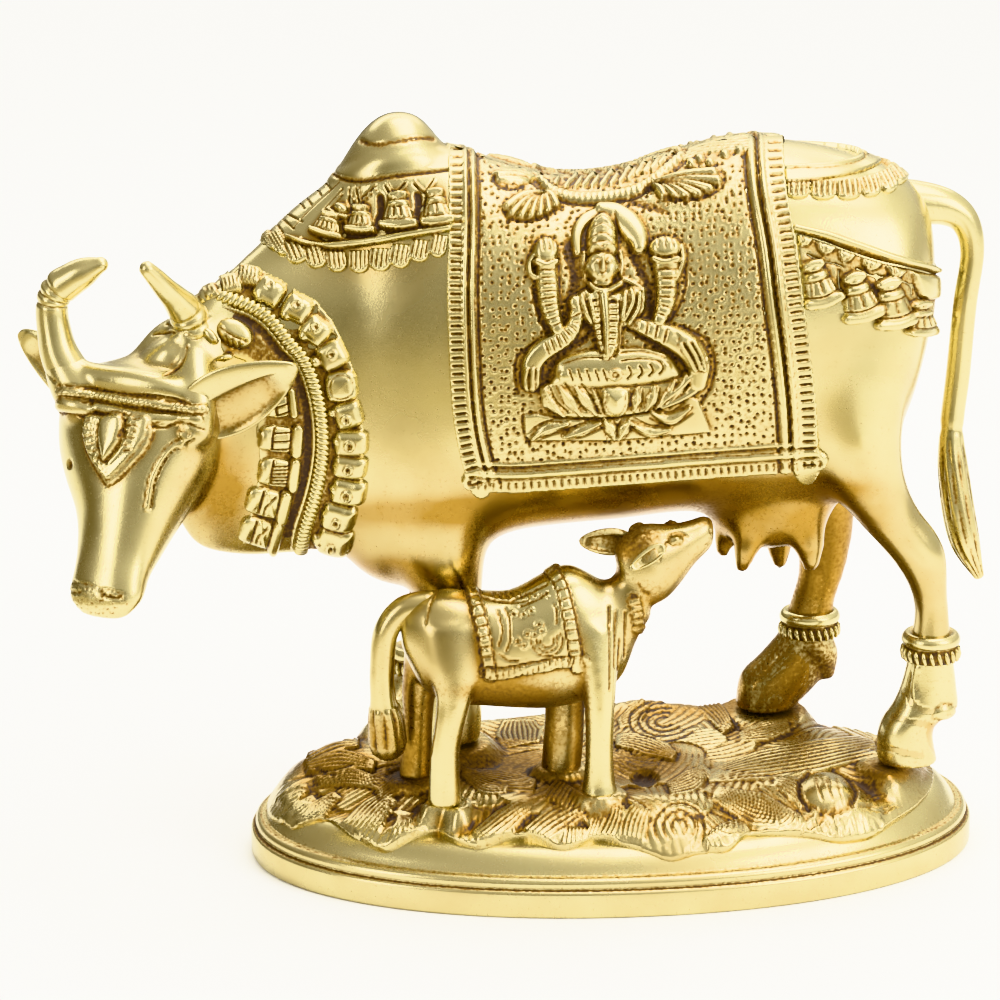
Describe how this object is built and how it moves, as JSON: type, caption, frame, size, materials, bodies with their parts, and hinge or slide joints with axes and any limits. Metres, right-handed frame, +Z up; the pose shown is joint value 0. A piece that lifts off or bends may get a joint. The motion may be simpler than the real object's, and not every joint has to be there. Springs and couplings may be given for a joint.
{
  "type": "cow and calf statue",
  "caption": "Cast brass statue of a humped cow in carved cloths suckling her calf, on an oval base with a rocky top.",
  "frame": {"origin": "middle of the base's underside", "axes": "+X along the cow from her head to her tail, +Y to her right (the calf stands on her left, at -Y), +Z up"},
  "size_m": [0.2218, 0.0972, 0.1733],
  "materials": {
    "cow": "polished, with dark brown patina in the carving",
    "calf": "polished, with dark brown patina in the carving",
    "base": "polished rim, carved ground with brown patina"
  },
  "bodies": {
    "root": {"cow": "cow", "calf": "calf", "base": "base"}
  },
  "joints": []
}
